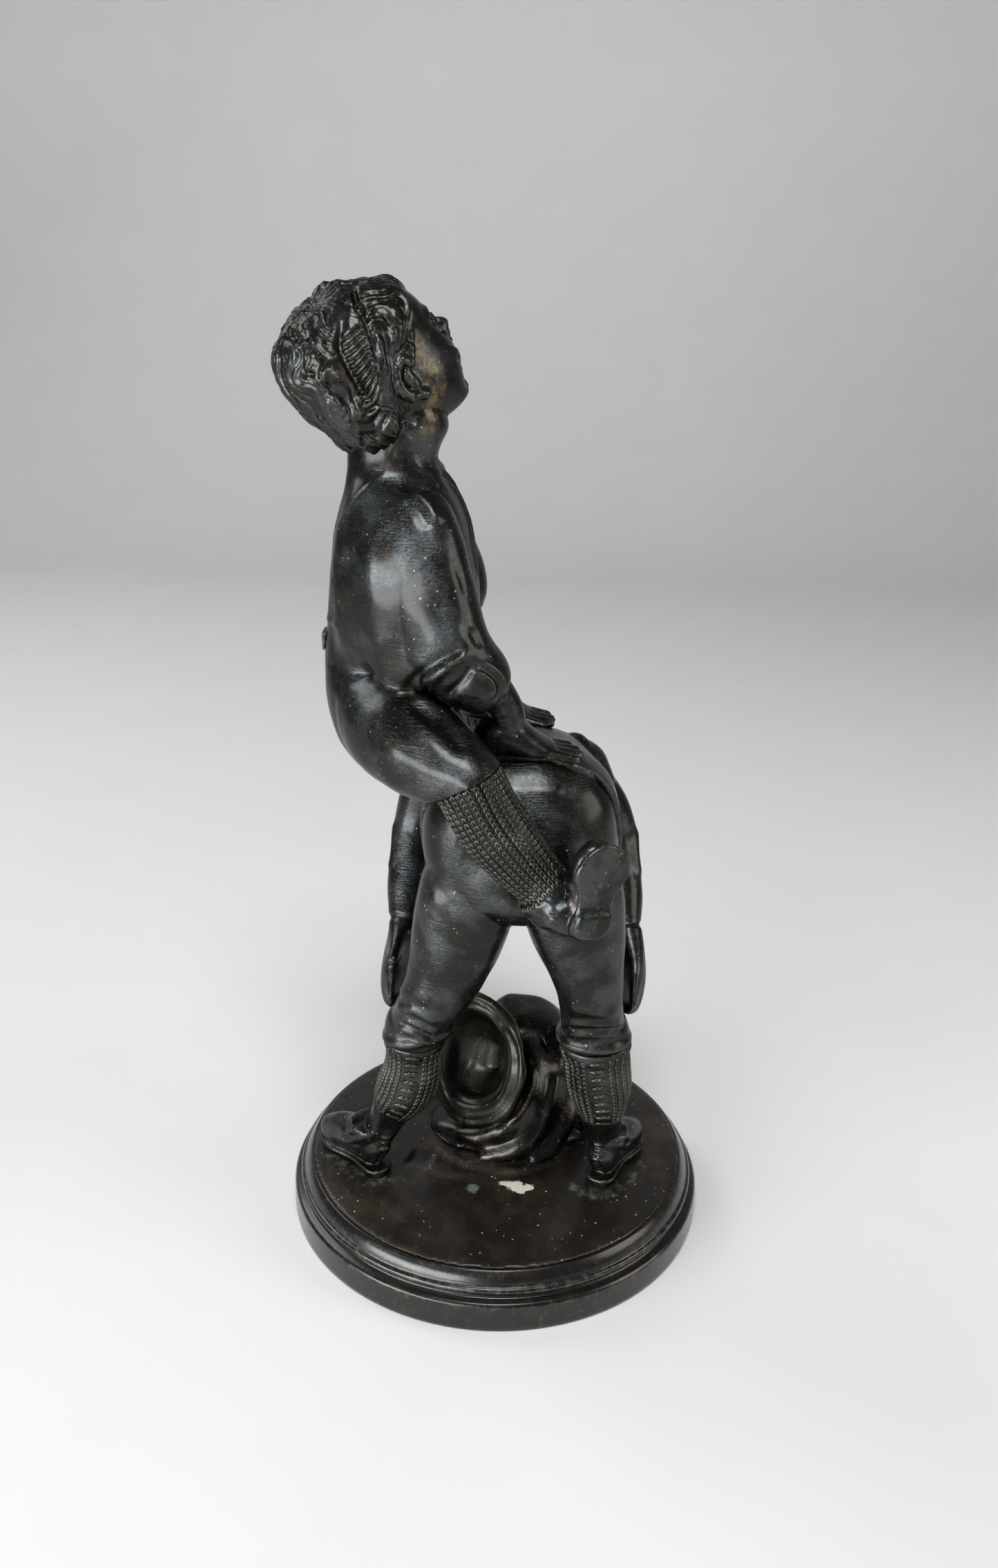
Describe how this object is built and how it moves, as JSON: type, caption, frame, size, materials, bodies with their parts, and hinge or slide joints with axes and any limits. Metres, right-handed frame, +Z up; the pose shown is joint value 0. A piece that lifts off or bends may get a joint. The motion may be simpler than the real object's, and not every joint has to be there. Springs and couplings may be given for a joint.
{
  "type": "bronze leapfrog statuette",
  "caption": "Patinated bronze statuette of a boy vaulting over a stooping boy in leapfrog, on a round turned base with a hollow underside.",
  "frame": {"origin": "centre of the base's underside", "axes": "+Z up; the stooping boy faces +Y and the leaping boy faces +X"},
  "size_m": [0.13, 0.1306, 0.279],
  "materials": {
    "bronze": "dark brown patina, satin, rubbed on high spots",
    "socle_bronze": "turned, dark brown patina with bright turning lines",
    "steel": "dull zinc-plated"
  },
  "bodies": {
    "root": {"socle": "socle_bronze", "terrace": "bronze", "stooper_left_leg": "bronze", "stooper_right_leg": "bronze", "stooper_breeches": "bronze", "stooper_jacket": "bronze", "stooper_head": "bronze", "stooper_left_arm": "bronze", "stooper_right_arm": "bronze", "leaper_breeches": "bronze", "leaper_torso": "bronze", "leaper_head": "bronze", "leaper_right_arm": "bronze", "leaper_left_arm": "bronze", "leaper_right_leg": "bronze", "leaper_left_leg": "bronze", "belt_buckle": "bronze", "hat": "bronze", "coat_bundle": "bronze", "joint_pins": "steel", "foot_studs": "steel", "stud_nuts": "steel", "stud_washers": "steel", "bundle_screw": "steel"}
  },
  "joints": []
}
